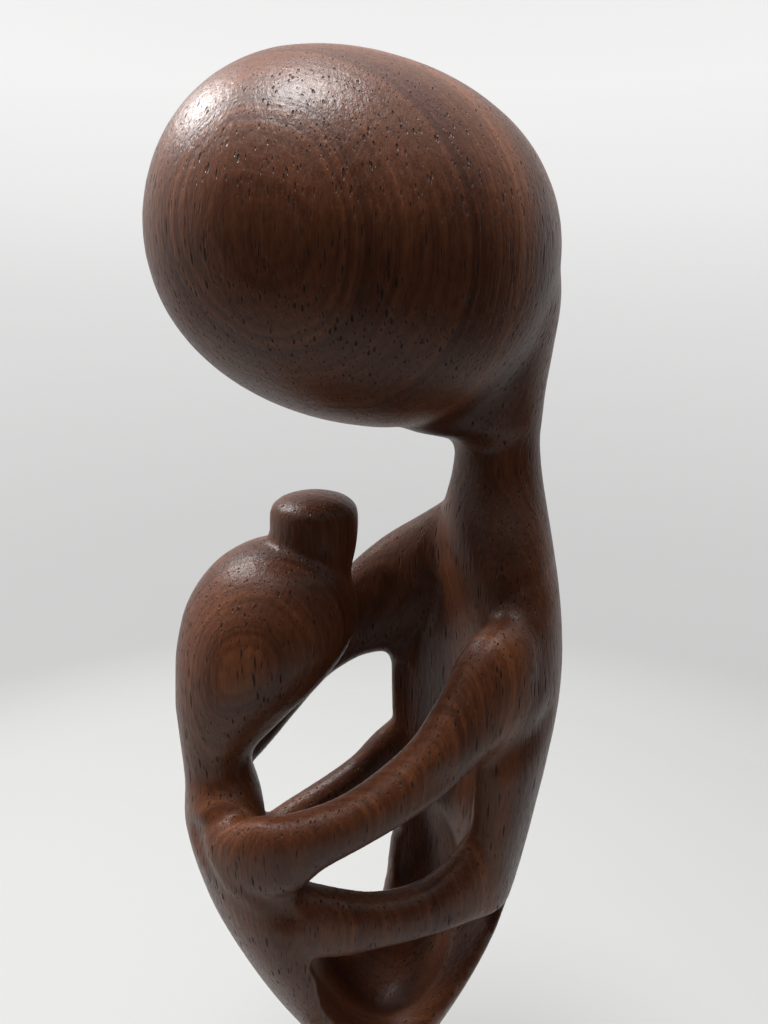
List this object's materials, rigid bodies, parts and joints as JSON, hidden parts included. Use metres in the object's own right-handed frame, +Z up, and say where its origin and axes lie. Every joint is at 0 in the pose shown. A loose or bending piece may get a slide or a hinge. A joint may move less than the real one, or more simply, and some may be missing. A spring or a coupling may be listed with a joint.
{
  "type": "mother and child sculpture",
  "caption": "Carved wooden figure of a mother bowing over the child in her arms, pierced between the arms and bodies, standing on its own low round base as a shelf ornament.",
  "frame": {"origin": "middle of the base's flat underside", "axes": "+Z up, the mother stands at +X and the child at -X, the near arm and hand lie at -Y"},
  "size_m": [0.0873, 0.07, 0.2976],
  "materials": {
    "wood": "satin, hand-carved dark brown hardwood with open pores"
  },
  "bodies": {
    "root": {"mother_and_child": "wood"}
  },
  "joints": []
}
